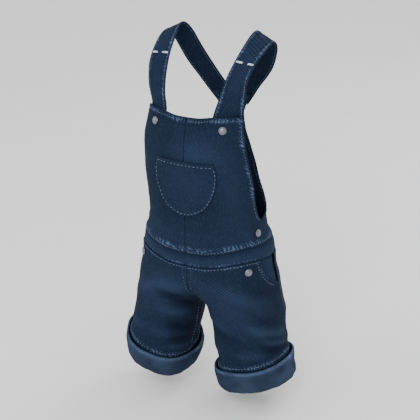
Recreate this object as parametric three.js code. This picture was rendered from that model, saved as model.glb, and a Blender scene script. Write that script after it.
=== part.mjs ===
// Denim shortalls, worn and filled out with no wearer inside. Millimetres, +Z up, -Y the front of the
// garment, +X the wearer's left. The origin is midway between the tops of the two shoulder straps.
//
// Every cloth piece is a thin wall laid on one of three surfaces: the trunk, the leg, or the strap run.
// Each surface is a short table of named columns, and a piece is a range of angle and height on it.
import * as THREE from "three";

// Cloth and hardware sizes.
const CLOTH = 1.8; // one layer of heavy denim with its hem allowance
const DOUBLE = 3.2; // two layers sewn flat, for straps and band
const SEAM_GAP = 0.3; // clear space kept between neighbouring pieces
const RIVET_D = 19;
const RIVET_H = 4.6;
const RIVET_RIM = 1.2; // height of the rivet's straight rim, under its dome
const RIVET_OUT = 0.7; // how far the rivet stands clear of the cloth
const POCKET_OUT = 0.4; // how far the chest pocket stands clear of the bib
const FACING_IN = 1.8; // how far a pocket facing lies behind the shorts

// Trunk: height, half width, front y, back y, squareness of the front.
const TRUNK = [
  [-140, 130, -138, 74, 2.4],
  [-180, 136, -149, 78, 2.4],
  [-225, 142, -157, 79, 2.4],
  [-300, 141, -158, 75, 2.3],
  [-350, 136, -155, 71, 2.3],
  [-400, 133, -153, 70, 2.3],
  [-430, 137, -154, 73, 2.3],
  [-455, 147, -153, 78, 2.3],
  [-470, 150, -150, 80, 2.3],
  [-500, 157, -149, 79, 2.3],
  [-540, 162, -142, 84, 2.3],
];

// Leg: height, centre x, half width, centre y, front depth, back depth, squareness of the front.
const LEG = [
  [-455, 0, 147, -37.5, 115.5, 115.5, 2.3],
  [-470, 0, 150, -35, 115, 115, 2.3],
  [-500, 0, 157, -35, 114, 114, 2.3],
  [-540, 19, 146, -33, 112, 109, 2.3],
  [-562, 47, 121, -31, 110, 107, 2.3],
  [-586, 72, 98, -29, 107, 101, 2.3],
  [-604, 88, 84, -28, 105, 96, 2.35],
  [-640, 100, 78, -27, 101, 90, 2.4],
  [-670, 104.5, 77.5, -29, 98, 87, 2.4],
  [-705, 110, 77.5, -31, 95, 84, 2.4],
  [-760, 119.5, 74, -35, 92, 80, 2.35],
  [-840, 125.5, 72, -37, 91, 80, 2.3],
];

// Strap run, front to back: neck edge x y z, then arm edge x y z.
const STRAP = [
  [65, -119, -112, 116, -98, -112],
  [72, -97, -70, 120, -92, -71],
  [78, -70, -40, 125, -68, -44],
  [83, -38, -13, 130, -30, -24],
  [87, -6, 6, 132, 0, -14],
  [88, 14, 7, 132, 20, -17],
  [84, 36, -9, 127, 38, -38],
  [64, 57, -58, 107, 56, -87],
  [33, 70, -110, 71, 65, -136],
];

// The strap's ends on the trunk: neck edge's angle and height, arm edge's angle and height, extra lift.
const STRAP_FRONT = [[21.5, -196, 54, -196, 0], [21.5, -172, 55.2, -172, 0], [21.5, -150, 57.2, -150, 0]];
const STRAP_BACK = [[174, -141, 157, -162, 0.4], [179.4, -158, 164.5, -184, 0]];

// How far the strap's middle bows out between its edges: share of the run, millimetres
const STRAP_BOW = [[0, 4.4], [0.155, 4], [0.25, 1.5], [0.79, 1], [0.915, 1.8], [1, 2]];

// Outlines on the trunk: height, angle from the front centre in degrees. Below the armhole the two edges
// are the side seam, which slants back as it falls.
const ARMHOLE_Z = -402; // the lowest point of each armhole, on the side seam
const BACK_TOP_Z = -156; // the back panel's straight top edge, under the strap ends
const BIB_EDGE = [
  [-151, 55.5], [-178, 56.5], [-205, 57.2], [-230, 59.5], [-265, 64], [-300, 69],
  [-341, 74.5], [-368, 78.5], [-386, 82.5], [-397, 86.6], [ARMHOLE_Z, 89.75], [-425, 98.5], [-455, 107.6],
];
const BACK_EDGE = [
  [BACK_TOP_Z, 157], [-186, 165.5], [-205, 168], [-235, 166.3], [-270, 160], [-310, 151], [-346, 141],
  [-374, 126], [-392, 109], [ARMHOLE_Z, 90.25], [-425, 99.5], [-455, 108.4],
];
const POCKET = [
  [-251, 24.4], [-262, 26.6], [-280, 28], [-300, 27.7], [-320, 25.6], [-340, 22.2], [-354, 18.4],
  [-365, 13], [-372, 8], [-376.5, 3],
];
// Lines round the trunk: angle, height. The waistband runs between the last two.
const NECKLINE = [[0, -155.5], [8, -155], [21, -151], [40, -150], [60, -151.5]];
const HEM_TOP = [[0, -468], [12, -467], [22, -463.5], [40, -456], [61, -451], [90, -453], [180, -462]];
const HEM_LOW = [[0, -499], [12, -498], [22, -494.5], [40, -487], [61, -483], [90, -485], [180, -490]];
// The side pocket's scooped mouth and, below it, the leg's side seam: height, angle.
const SCOOP = [[-478, 70.5], [-500, 72], [-520, 76], [-536, 82], [-546, 88], [-552, 93], [-556, 96.8]];
const LEG_SIDE = [[-480, 96], [-556, 96.9], [-620, 104], [-700, 110], [-790, 112]];
const SIDE_AT_HEM = 112;

// Cuffs: mean top height, how far the outer side rises, how far the front drops, then how much longer and
// how much fuller the outer side is at the fold.
const CUFFS = {
  left: [-748, 18, 0, 1, 18],
  right: [-738, 27, 11, 3, 0],
};
const LEG_IN_CUFF = 20; // how far the leg runs down inside its cuff
const CUFF_FIXED = 21; // the part below the cuff's top that keeps its length
const CUFF_HEIGHT = 53;
// Cuff section round the leg: distance out from the leg, height from the cuff top, half thickness
const CUFF_LINE = [
  [-1.5, -21, 1.1], [-6, -38, 1.2], [-11, -48, 1.6], [-7, -53, 2], [2.5, -46, 1.8], [11, -29, 1.6],
  [14.5, -12, 1.7], [12.5, 0, 2.8],
];

const rad = (deg) => (deg * Math.PI) / 180;
const lerp = (a, b, k) => a + (b - a) * k;
const power = (v, p) => Math.sign(v) * Math.abs(v) ** p;

// Reads a table at a key with a smooth curve that never overshoots its rows; columns after the first.
function read(table, key) {
  const up = table[0][0] < table[table.length - 1][0] ? 1 : -1;
  let i = 0;
  while (i < table.length - 2 && (key - table[i + 1][0]) * up > 0) i++;
  const slope = (k, c) => {
    const one = (n) => (table[n + 1][c] - table[n][c]) / (table[n + 1][0] - table[n][0]);
    if (k === 0) return one(0);
    if (k === table.length - 1) return one(k - 1);
    const [p, q] = [one(k - 1), one(k)];
    return p * q <= 0 ? 0 : (2 * p * q) / (p + q);
  };
  const [lo, hi] = [table[i], table[i + 1]];
  const w = hi[0] - lo[0];
  const k = Math.min(1, Math.max(0, (key - lo[0]) / w));
  const out = [];
  for (let c = 1; c < lo.length; c++) {
    const [m0, m1] = [slope(i, c) * w, slope(i + 1, c) * w];
    out.push(
      (2 * k ** 3 - 3 * k ** 2 + 1) * lo[c] + (k ** 3 - 2 * k ** 2 + k) * m0 +
        (3 * k ** 2 - 2 * k ** 3) * hi[c] + (k ** 3 - k ** 2) * m1,
    );
  }
  return out;
}

// A point on the trunk: angle from the front centre, positive toward the wearer's left, and height.
function trunkPoint(angle, z) {
  const [half, front, back, square] = read(TRUNK, z);
  const [s, c] = [Math.sin(rad(angle)), Math.cos(rad(angle))];
  const n = c > 0 ? square : 2;
  const depth = (back - front) / 2;
  return new THREE.Vector3(half * power(s, 2 / n), (front + back) / 2 - depth * power(c, 2 / n), z);
}

// A point on the wearer's left leg: angle round the leg from its own front, and height.
function legPoint(angle, z) {
  const [cx, half, cy, front, back, square] = read(LEG, z);
  const [s, c] = [Math.sin(rad(angle)), Math.cos(rad(angle))];
  const n = c > 0 ? square : 2;
  return new THREE.Vector3(cx + half * power(s, 2 / n), cy - (c > 0 ? front : back) * power(c, 2 / n), z);
}

// The inner edge's angle of a leg piece: where the leg meets the garment's middle, or else the inseam.
function middleAngle(z, isFront) {
  const [cx, half, , , , square] = read(LEG, z);
  if (cx >= half) return -89.8;
  return (-Math.asin((cx / half) ** ((isFront ? square : 2) / 2)) * 180) / Math.PI;
}

// Moves a point of a surface outward along the surface's own normal.
function offset(surface, a, b, out) {
  const e = 0.4;
  const du = surface(a + e, b).sub(surface(a - e, b));
  const dv = surface(a, b + e).sub(surface(a, b - e));
  return surface(a, b).addScaledVector(du.cross(dv).normalize(), out);
}

// Makes a closed solid from an outer and an inner grid of points, row by row. A closed wall is a ring.
function wall(name, columns, rows, outer, inner, closed = false) {
  const position = [];
  const index = [];
  const across = columns + (closed ? 0 : 1);
  for (const face of [outer, inner])
    for (let j = 0; j <= rows; j++)
      for (let i = 0; i < across; i++) position.push(...face(i / columns, j / rows).toArray());
  const at = (side, i, j) => side * across * (rows + 1) + j * across + (i % across);
  const quad = (a, b, c, d) => index.push(a, b, c, a, c, d);
  for (let j = 0; j < rows; j++)
    for (let i = 0; i < columns; i++) {
      quad(at(0, i, j), at(0, i, j + 1), at(0, i + 1, j + 1), at(0, i + 1, j));
      quad(at(1, i, j), at(1, i + 1, j), at(1, i + 1, j + 1), at(1, i, j + 1));
    }
  for (let i = 0; i < columns; i++) {
    quad(at(0, i, 0), at(0, i + 1, 0), at(1, i + 1, 0), at(1, i, 0));
    quad(at(0, i + 1, rows), at(0, i, rows), at(1, i, rows), at(1, i + 1, rows));
  }
  if (!closed)
    for (let j = 0; j < rows; j++) {
      quad(at(0, 0, j + 1), at(0, 0, j), at(1, 0, j), at(1, 0, j + 1));
      quad(at(0, columns, j), at(0, columns, j + 1), at(1, columns, j + 1), at(1, columns, j));
    }
  return solid(name, position, index);
}

const MATERIALS = {
  denim: { color: 0x1b2c48, roughness: 0.9, metalness: 0 },
  facing: { color: 0x16243b, roughness: 0.92, metalness: 0 },
  reverse: { color: 0x3a5475, roughness: 0.92, metalness: 0 },
  steel: { color: 0xb9bdc4, roughness: 0.35, metalness: 0.9 },
};

function solid(name, position, index) {
  const geometry = new THREE.BufferGeometry();
  geometry.setAttribute("position", new THREE.Float32BufferAttribute(position, 3));
  geometry.setIndex(index);
  const kind = name.includes("rivet") ? "steel" : name.includes("cuff") ? "reverse"
    : name.includes("facing") ? "facing" : "denim";
  const mesh = new THREE.Mesh(geometry, new THREE.MeshStandardMaterial(MATERIALS[kind]));
  mesh.name = name;
  return mesh;
}

// The same piece for the wearer's right: mirrored across the middle, with its faces turned back.
function mirrored(mesh, name) {
  const p = Array.from(mesh.geometry.attributes.position.array, (v, i) => (i % 3 === 0 ? -v : v));
  const f = Array.from(mesh.geometry.index.array);
  for (let i = 0; i < f.length; i += 3) [f[i + 1], f[i + 2]] = [f[i + 2], f[i + 1]];
  return solid(name, p, f);
}

// A wall on a surface: place(u, v) gives the angle and height, out gives the outer face's distance.
function panel(name, columns, rows, surface, place, out, thick, keep = (p) => p) {
  const face = (d) => (u, v) => {
    const [a, z] = place(u, v);
    return keep(offset(surface, a, z, d));
  };
  return wall(name, columns, rows, face(out), face(out - thick));
}

// Keeps a piece of the wearer's left on its own side of the middle seam.
const leftOfMiddle = (p) => p.setX(Math.max(p.x, SEAM_GAP / 2));

const parts = [];
const both = (mesh, stem) => parts.push(mesh, mirrored(mesh, `${stem}_right`));

// Bib front: two halves joined by a seam down the middle. An outline's angle depends on the height and
// the hem's height on the angle, so a few passes settle both.
function bibPlace(u, v) {
  let angle = u * 57;
  let z = -300;
  for (let pass = 0; pass < 6; pass++) {
    const top = read(NECKLINE, Math.min(angle, 60))[0];
    const low = read(HEM_TOP, angle)[0] + SEAM_GAP / 2;
    z = lerp(top, low, v);
    angle = u * read(BIB_EDGE, z)[0];
  }
  return [angle, z];
}
both(panel("bib_front_left", 10, 17, trunkPoint, bibPlace, CLOTH / 2, CLOTH, leftOfMiddle), "bib_front");

// Back panel: narrow top under the strap ends, flaring to the side seams and the waist.
function backPlace(u, v) {
  let angle = 180;
  let z = -300;
  for (let pass = 0; pass < 6; pass++) {
    const low = read(HEM_TOP, Math.min(angle, 360 - angle))[0] + SEAM_GAP / 2;
    z = lerp(BACK_TOP_Z, low, v);
    const side = read(BACK_EDGE, z)[0];
    angle = lerp(side, 360 - side, u);
  }
  return [angle, z];
}
parts.push(panel("back_panel", 16, 17, trunkPoint, backPlace, CLOTH / 2, CLOTH));

// Chest pocket: one U-shaped patch lying on both halves of the bib.
function pocketPlace(u, v) {
  const z = lerp(POCKET[0][0], POCKET[POCKET.length - 1][0], 1 - (1 - v) ** 1.35);
  const side = read(POCKET, z)[0];
  return [lerp(-side, side, u), z];
}
parts.push(panel("chest_pocket", 12, 11, trunkPoint, pocketPlace, CLOTH * 1.5 + POCKET_OUT, CLOTH));

// Waistband: one ring all round, between the bib and back above and the shorts below.
function bandPlace(u, v) {
  const angle = lerp(-180, 180, u);
  const a = Math.abs(angle);
  return [angle, lerp(read(HEM_TOP, a)[0] - SEAM_GAP / 2, read(HEM_LOW, a)[0] + SEAM_GAP / 2, v)];
}
{
  const face = (out) => (u, v) => offset(trunkPoint, ...bandPlace(u, v), out);
  parts.push(wall("waistband", 48, 3, face(CLOTH / 2), face(CLOTH / 2 - DOUBLE), true));
}

// Shorts: a front and a back piece for each leg, meeting at side seam, inseam and middle.
const legHem = (side, angle) => {
  const [mean, rise, drop] = CUFFS[side];
  return mean + rise * Math.sin(rad(angle)) - drop * Math.cos(rad(angle)) - LEG_IN_CUFF;
};
const FORK_Z = -611; // the height where each leg has closed into its own tube
const SEAT_ROWS = [0, 0.12, 0.25, 0.38, 0.5, 0.61, 0.71, 0.8, 0.88, 0.95, 1];
const LEG_ROWS = [0.17, 0.36, 0.57, 0.79, 1];
const SHORTS_ROWS = SEAT_ROWS.length + LEG_ROWS.length - 1;

function shortsPlace(side, isFront) {
  return (u, v) => {
    const row = Math.round(v * SHORTS_ROWS);
    const hemAngle = isFront ? lerp(-90, SIDE_AT_HEM, u) : lerp(SIDE_AT_HEM, 270, u);
    const waistAngle = isFront ? lerp(0, SCOOP[0][1], u) : lerp(LEG_SIDE[0][1], 180, u);
    const z = row < SEAT_ROWS.length
      ? lerp(read(HEM_LOW, waistAngle)[0] - SEAM_GAP / 2, FORK_Z, SEAT_ROWS[row])
      : lerp(FORK_Z, legHem(side, hemAngle), LEG_ROWS[row - SEAT_ROWS.length]);
    const seam = read(LEG_SIDE, z)[0];
    const mouth = z > SCOOP[SCOOP.length - 1][0] ? read(SCOOP, z)[0] : seam - 0.1;
    const inner = middleAngle(z, isFront);
    return [isFront ? lerp(inner, mouth, u) : lerp(seam + 0.1, 180 - inner, u), z];
  };
}
for (const side of ["left", "right"])
  for (const isFront of [true, false]) {
    const name = `shorts_${isFront ? "front" : "back"}_${side}`;
    const mesh = panel(name, isFront ? 15 : 12, SHORTS_ROWS, legPoint, shortsPlace(side, isFront), CLOTH / 2,
      CLOTH, leftOfMiddle);
    parts.push(side === "left" ? mesh : mirrored(mesh, name));
  }

// Pocket facings: the denim seen inside each side pocket's scooped opening.
function facingPlace(u, v) {
  const z = lerp(-487.5, -571, v);
  return [lerp(lerp(64, 74, v), 95.6, u), z];
}
both(panel("pocket_facing_left", 5, 7, legPoint, facingPlace, -CLOTH / 2 - FACING_IN, CLOTH), "pocket_facing");

// Cuffs: each a turned-up ring, its section carried round the leg.
for (const side of ["left", "right"]) {
  const [mean, rise, drop, longer, fuller] = CUFFS[side];
  const line = CUFF_LINE.map(([r, s]) => new THREE.Vector2(r, s));
  const thick = CUFF_LINE.map((row) => row[2]);
  const section = [];
  const edge = (sign) => line.map((p, i) => {
    const a = line[Math.max(0, i - 1)];
    const b = line[Math.min(line.length - 1, i + 1)];
    const along = b.clone().sub(a).normalize();
    return new THREE.Vector2(p.x - sign * along.y * thick[i], p.y + sign * along.x * thick[i]);
  });
  const end = line[line.length - 1];
  section.push(...edge(-1), new THREE.Vector2(end.x - 1.2, end.y + 2.6), ...edge(1).reverse());
  const around = 36;
  const count = section.length;
  const position = [];
  const index = [];
  for (let i = 0; i < around; i++) {
    const angle = (i / around) * 360;
    const top = mean + rise * Math.sin(rad(angle)) - drop * Math.cos(rad(angle));
    for (const { x: r, y: s } of section) {
      const share = Math.min(1, Math.max(0, (-s - CUFF_FIXED) / (CUFF_HEIGHT - CUFF_FIXED)));
      const extra = share * Math.max(0, Math.sin(rad(angle)));
      const z = top + s - longer * extra;
      const p = offset(legPoint, angle, z, 0);
      const out = offset(legPoint, angle, z, 1).sub(p).setZ(0).normalize();
      position.push(...p.addScaledVector(out, r + fuller * extra).toArray());
    }
  }
  for (let i = 0; i < around; i++)
    for (let k = 0; k < count; k++) {
      const [a, b] = [i * count + k, i * count + ((k + 1) % count)];
      const [c, d] = [((i + 1) % around) * count + ((k + 1) % count), ((i + 1) % around) * count + k];
      index.push(a, c, b, a, d, c);
    }
  const mesh = solid(`cuff_${side}`, position, index);
  parts.push(side === "left" ? mesh : mirrored(mesh, `cuff_${side}`));
}

// Straps: from behind the bib, over the shoulder, to the outside of the back panel's top.
function strapRun() {
  const clear = CLOTH / 2 + 2 * SEAM_GAP + DOUBLE / 2;
  const laid = (out) => ([neck, zNeck, arm, zArm, lift]) => [
    ...offset(trunkPoint, neck, zNeck, out + lift).toArray(),
    ...offset(trunkPoint, arm, zArm, out + lift).toArray(),
  ];
  const rows = [...STRAP_FRONT.map(laid(-clear)), ...STRAP, ...STRAP_BACK.map(laid(clear))];
  const curve = (c) => new THREE.CatmullRomCurve3(
    rows.map((row) => new THREE.Vector3(row[c], row[c + 1], row[c + 2])), false, "centripetal");
  return [curve(0), curve(3)];
}
{
  const [neck, arm] = strapRun();
  const columns = 4;
  const steps = 38;
  const mid = (u, v) => neck.getPoint(v).lerp(arm.getPoint(v), u);
  const face = (d) => (u, v) => {
    const [v0, v1] = [Math.max(0, v - 0.01), Math.min(1, v + 0.01)];
    const along = mid(u, v1).sub(mid(u, v0));
    const across = mid(1, v).sub(mid(0, v));
    const bow = read(STRAP_BOW, v)[0] * 4 * u * (1 - u);
    return mid(u, v).addScaledVector(along.cross(across).normalize(), d - bow);
  };
  both(wall("strap_left", columns, steps, face(DOUBLE / 2), face(-DOUBLE / 2)), "strap");
}

// Rivets: low domes standing on the cloth.
function rivet(name, surface, angle, z) {
  const ringCount = 3;
  const around = 14;
  const out = CLOTH / 2 + RIVET_OUT;
  const base = offset(surface, angle, z, out);
  const normal = offset(surface, angle, z, out + 1).sub(base).normalize();
  const turn = new THREE.Quaternion().setFromUnitVectors(new THREE.Vector3(0, 0, 1), normal);
  const at = (r, a, h) =>
    new THREE.Vector3(r * Math.cos(a), r * Math.sin(a), h).applyQuaternion(turn).add(base);
  const position = at(0, 0, 0).toArray();
  const index = [];
  for (let j = 0; j <= ringCount; j++) {
    const lift = (j / (ringCount + 1)) * 90;
    const r = (RIVET_D / 2) * Math.cos(rad(lift)) ** 0.8;
    const h = RIVET_RIM * Math.min(j, 1) + (RIVET_H - RIVET_RIM) * Math.sin(rad(lift));
    for (let i = 0; i < around; i++) position.push(...at(r, (i / around) * 2 * Math.PI, h).toArray());
  }
  position.push(...at(0, 0, RIVET_H).toArray());
  const top = position.length / 3 - 1;
  for (let i = 0; i < around; i++) {
    const k = (i + 1) % around;
    index.push(0, 1 + k, 1 + i);
    for (let j = 0; j < ringCount; j++) {
      const [a, b] = [1 + j * around + i, 1 + j * around + k];
      index.push(a, b, b + around, a, b + around, a + around);
    }
    index.push(1 + ringCount * around + i, 1 + ringCount * around + k, top);
  }
  return solid(name, position, index);
}
both(rivet("bib_rivet_left", trunkPoint, 32.5, -177), "bib_rivet");
both(rivet("side_rivet_left", trunkPoint, 79.5, -426), "side_rivet");
both(rivet("hip_rivet_left", legPoint, 54.5, -506), "hip_rivet");

const group = new THREE.Group();
parts.forEach((mesh) => group.add(mesh));
export default group;
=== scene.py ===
import math

import bpy
import numpy as np
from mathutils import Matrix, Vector
from mathutils.bvhtree import BVHTree


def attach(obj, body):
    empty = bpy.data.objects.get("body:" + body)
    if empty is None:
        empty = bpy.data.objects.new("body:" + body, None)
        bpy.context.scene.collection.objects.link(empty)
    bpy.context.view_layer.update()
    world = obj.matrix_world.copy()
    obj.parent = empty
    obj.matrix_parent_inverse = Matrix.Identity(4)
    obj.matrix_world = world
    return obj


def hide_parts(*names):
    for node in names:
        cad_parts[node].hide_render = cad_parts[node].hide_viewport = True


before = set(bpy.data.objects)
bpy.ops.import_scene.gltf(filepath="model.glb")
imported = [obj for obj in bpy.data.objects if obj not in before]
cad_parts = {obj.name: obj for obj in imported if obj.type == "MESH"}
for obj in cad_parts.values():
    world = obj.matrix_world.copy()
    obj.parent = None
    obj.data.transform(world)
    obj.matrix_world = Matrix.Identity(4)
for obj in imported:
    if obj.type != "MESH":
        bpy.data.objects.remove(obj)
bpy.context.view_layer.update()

# Bib front. Two halves of heavy indigo twill, cut wide at the waist and narrow at the chest, joined by a
# flat seam down the middle. The neckline and the long sides are turned in, stitched and worn pale, and
# the cloth rolls a little over the waistband. The shape tables are in millimetres and degrees.
MM = 0.001
# the wearer's side and the sign of x on it
SIDES = (("left", 1), ("right", -1))
# height, half width, front y, back y, squareness of the front
TRUNK = np.array([
    [-140, 130, -138, 74, 2.4], [-180, 136, -149, 78, 2.4], [-225, 142, -157, 79, 2.4],
    [-300, 141, -158, 75, 2.3], [-350, 136, -155, 71, 2.3], [-400, 133, -153, 70, 2.3],
    [-430, 137, -154, 73, 2.3], [-455, 147, -153, 78, 2.3], [-470, 150, -150, 80, 2.3],
    [-500, 157, -149, 79, 2.3], [-540, 162, -142, 84, 2.3],
])
ARMHOLE_Z = -402
# height, angle of the bib's side edge from the front middle
BIB_EDGE = np.array([
    [-151, 55.5], [-178, 56.5], [-205, 57.2], [-230, 59.5], [-265, 64], [-300, 69],
    [-341, 74.5], [-368, 78.5], [-386, 82.5], [-397, 86.6], [ARMHOLE_Z, 89.85],
    [-425, 98.9], [-455, 107.9],
])
# angle, height of each line across the front
NECKLINE = np.array([[0, -155.5], [8, -155], [21, -151], [40, -150], [60, -151.5]])
HEM_TOP = np.array([[0, -468], [12, -467], [22, -463.5], [40, -456], [61, -451], [90, -453], [180, -462]])
HEM_LOW = np.array([[0, -499], [12, -498], [22, -494.5], [40, -487], [61, -483], [90, -485], [180, -490]])
CLOTH = 1.8
HEM_WIDTH = 13.0
# half of the gap between two pieces at a seam, and the width of the painted shade line along it
SEAM_GAP = 0.15
SEAM_LINE = 1.2
# how far in from its cut edge a piece of cloth rounds over
EDGE_ROUND = 1.4
# rounds of fitting a piece's angle and height to each other
FIT_ROUNDS = 6
DENIM = (0.0072, 0.0138, 0.032, 1)
DENIM_FADED = (0.0205, 0.0365, 0.076, 1)
DENIM_WORN = (0.082, 0.126, 0.24, 1)
DENIM_INSIDE = (0.0065, 0.0125, 0.028, 1)
RIB_GROOVE = (0.0022, 0.0042, 0.01, 1)
# painted shade: the dark given to seam lines, hem edges, crease hollows, tucked edges and a cuff's inner
# layer in place of their shadow, and also to the cuffs' random darker blotches
PAINTED_SHADE = (0.0036, 0.0072, 0.017, 1)
TWILL_ANGLE = math.radians(62)
# a wave texture's period in its own units
WAVE_PERIOD = 0.314
CLOTH_ROUGHNESS = 0.86


def hermite(k, first, first_slope, last, last_slope):
    """A cubic between two values with a slope at each, at shares from 0 to 1."""
    return ((2 * k**3 - 3 * k**2 + 1) * first + (k**3 - 2 * k**2 + k) * first_slope
            + (3 * k**2 - 2 * k**3) * last + (k**3 - k**2) * last_slope)


def read(table, key, column=1):
    """A table's column at a key: a smooth curve through the rows that never overshoots them."""
    rows = table if table[0, 0] < table[-1, 0] else table[::-1]
    x, y = rows[:, 0], rows[:, column]
    step = np.diff(y) / np.diff(x)
    slope = np.concatenate([step[:1], np.zeros(len(x) - 2), step[-1:]])
    same = step[:-1] * step[1:] > 0
    total = np.where(same, step[:-1] + step[1:], 1)
    slope[1:-1] = np.where(same, 2 * step[:-1] * step[1:] / total, 0)
    key = np.asarray(key, float)
    i = np.clip(np.searchsorted(x, key, side="right") - 1, 0, len(x) - 2)
    w = x[i + 1] - x[i]
    k = np.clip((key - x[i]) / w, 0, 1)
    return hermite(k, y[i], w * slope[i], y[i + 1], w * slope[i + 1])


def signed_power(value, power):
    return np.sign(value) * np.abs(value) ** power


def trunk_point(angle, z):
    """A point on the trunk: degrees from the front middle, positive to the wearer's left, and height."""
    half, front, back, square = (read(TRUNK, z, c) for c in (1, 2, 3, 4))
    s, c = np.sin(np.radians(angle)), np.cos(np.radians(angle))
    n = np.where(c > 0, square, 2)
    x = half * signed_power(s, 2 / n)
    y = (front + back) / 2 - (back - front) / 2 * signed_power(c, 2 / n)
    return np.stack([x, y, z + 0 * x], -1)


def on_surface(point, angle, z):
    """The point and the outward normal of a surface."""
    e = 0.4
    across = point(angle + e, z) - point(angle - e, z)
    up = point(angle, z + e) - point(angle, z - e)
    normal = np.cross(across, up)
    return point(angle, z), normal / np.linalg.norm(normal, axis=-1, keepdims=True)


def smooth(value, low, high):
    k = np.clip((value - low) / (high - low), 0, 1)
    return k * k * (3 - 2 * k)


def spot(value, centre, half):
    """A soft bump of height 1 at the centre."""
    return np.exp(-((value - centre) / half) ** 2)


def oval(a, centre_a, half_a, b, centre_b, half_b):
    """A soft oval bump in two measures, of height 1 at its centre."""
    return np.exp(-((a - centre_a) / half_a) ** 2 - ((b - centre_b) / half_b) ** 2)


def crumple(point, length, seed):
    """Soft unevenness of worn cloth, from -1 to 1, with hollows about one length apart."""
    rng = np.random.default_rng(seed)
    total = np.zeros(point.shape[:-1])
    for _ in range(9):
        way = rng.normal(size=3)
        way *= 2 * math.pi / (length * rng.uniform(0.6, 1.7)) / np.linalg.norm(way)
        total += np.sin(point @ way + rng.uniform(0, 6.3))
    return total / 4


def hem(d, s, width=HEM_WIDTH, height=0.7, rope=0.7, seed=1):
    """A stitched hem's raised fold and its slanting puckers: lift in millimetres and wear from 0 to 1."""
    fold = height * (1 - smooth(d, width - 1.5, width + 1.5))
    drift = 2.6 * np.sin(s / 27 + seed) + 1.9 * np.sin(s / 8.3 + 2 * seed) + 1.2 * np.sin(d / 2.4 + s / 5.1)
    pucker = np.sin(2 * math.pi * (s / 7.2 + d / 13) + drift)
    strength = 0.8 + 0.2 * np.sin(s / 37 + 3 * seed) * np.sin(s / 13.3 + seed)
    belt = np.exp(-np.abs((d - 0.6 * width) / (0.6 * width)) ** 3) * strength
    return fold + rope * belt * pucker, belt * (0.72 + 0.34 * pucker)


def spread(count):
    """Grid shares from 0 to 1, closer together at the two ends so that an edge can round over."""
    return np.concatenate([[0, 0.004], np.linspace(0.012, 0.988, count), [0.996, 1]])


def grid_lengths(point):
    """How far each grid point lies from the grid's left, right, top and bottom edge, in millimetres."""
    along = np.linalg.norm(np.diff(point, axis=1), axis=-1)
    down = np.linalg.norm(np.diff(point, axis=0), axis=-1)
    left = np.concatenate([np.zeros((len(point), 1)), np.cumsum(along, 1)], 1)
    top = np.concatenate([np.zeros((1, point.shape[1])), np.cumsum(down, 0)], 0)
    return left, left[:, -1:] - left, top, top[-1:] - top


def mesh_piece(name, points, faces, uv=None, marks=None, material=None):
    """A mesh object from points in millimetres, quads, and per-point numbers that its material reads."""
    mesh = bpy.data.meshes.new(name)
    mesh.vertices.add(len(points))
    mesh.vertices.foreach_set("co", (np.asarray(points, np.float32) * MM).ravel())
    faces = np.asarray(faces, np.int32)
    size = faces.shape[1]
    mesh.loops.add(faces.size)
    mesh.loops.foreach_set("vertex_index", faces.ravel())
    mesh.polygons.add(len(faces))
    mesh.polygons.foreach_set("loop_start", np.arange(0, faces.size, size, dtype=np.int32))
    mesh.polygons.foreach_set("use_smooth", np.ones(len(faces), bool))
    mesh.update(calc_edges=True)
    mesh.validate()
    if uv is not None:
        layer = mesh.uv_layers.new(name="cloth_uv")
        layer.data.foreach_set("uv", (uv[faces.ravel()] * MM).astype(np.float32).ravel())
    for mark, value in (marks or {}).items():
        mesh.attributes.new(mark, "FLOAT", "POINT").data.foreach_set("value", np.asarray(value, np.float32))
    if material:
        mesh.materials.append(material)
    piece = bpy.data.objects.new(name, mesh)
    bpy.context.collection.objects.link(piece)
    return piece


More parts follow.
